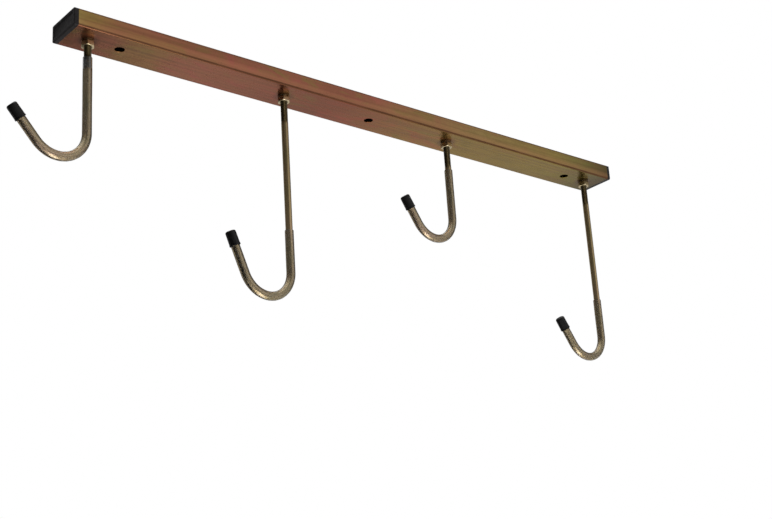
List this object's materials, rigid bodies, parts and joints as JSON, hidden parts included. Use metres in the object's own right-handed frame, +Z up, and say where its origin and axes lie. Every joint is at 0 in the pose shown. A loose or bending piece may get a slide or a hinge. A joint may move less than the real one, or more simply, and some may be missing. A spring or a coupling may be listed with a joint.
{
  "type": "bicycle rack rail",
  "caption": "Capped rectangular rail, screwed up under a ceiling or beam, with short and long sleeved J hooks that each hang a bicycle by a wheel.",
  "frame": {"origin": "middle of the rail's flat top face, which lies against what the rail is screwed to", "axes": "+X along the rail, with the hooks opening towards -X; +Z up, out of the mounting face; the tips of the hooks are turned 4 degrees towards -Y"},
  "size_m": [0.8614, 0.05, 0.277],
  "materials": {
    "chromated_steel": "zinc plated with an iridescent yellow chromate film, satin",
    "plated_rod": "drawn rod, zinc plated with a pale yellow chromate film",
    "plated_nut": "bright zinc plated",
    "black_plastic": "moulded, fine grain",
    "black_rubber": "moulded vinyl, satin",
    "clear_vinyl": "clear soft tube, slightly yellowed"
  },
  "bodies": {
    "rail": {"rail_tube": "chromated_steel", "end_cap_left": "black_plastic", "end_cap_right": "black_plastic", "thread_insert_1": "plated_nut", "thread_insert_2": "plated_nut", "thread_insert_3": "plated_nut", "thread_insert_4": "plated_nut"},
    "hook_1": {"hook_rod_1": "plated_rod", "hook_sleeve_1": "clear_vinyl", "tip_cap_1": "black_rubber", "lock_nut_1": "plated_nut"},
    "hook_2": {"hook_rod_2": "plated_rod", "hook_sleeve_2": "clear_vinyl", "tip_cap_2": "black_rubber", "lock_nut_2": "plated_nut"},
    "hook_3": {"hook_rod_3": "plated_rod", "hook_sleeve_3": "clear_vinyl", "tip_cap_3": "black_rubber", "lock_nut_3": "plated_nut"},
    "hook_4": {"hook_rod_4": "plated_rod", "hook_sleeve_4": "clear_vinyl", "tip_cap_4": "black_rubber", "lock_nut_4": "plated_nut"}
  },
  "joints": [
    {"name": "hook_1_swivel", "type": "hinge", "parent": "rail", "child": "hook_1", "pos_m": [-0.372, 0, -0.02], "axis": [0, 0, 1], "range_deg": [-90, 90]},
    {"name": "hook_2_swivel", "type": "hinge", "parent": "rail", "child": "hook_2", "pos_m": [-0.124, 0, -0.02], "axis": [0, 0, 1], "range_deg": [-90, 90]},
    {"name": "hook_3_swivel", "type": "hinge", "parent": "rail", "child": "hook_3", "pos_m": [0.124, 0, -0.02], "axis": [0, 0, 1], "range_deg": [-90, 90]},
    {"name": "hook_4_swivel", "type": "hinge", "parent": "rail", "child": "hook_4", "pos_m": [0.372, 0, -0.02], "axis": [0, 0, 1], "range_deg": [-90, 90]}
  ]
}
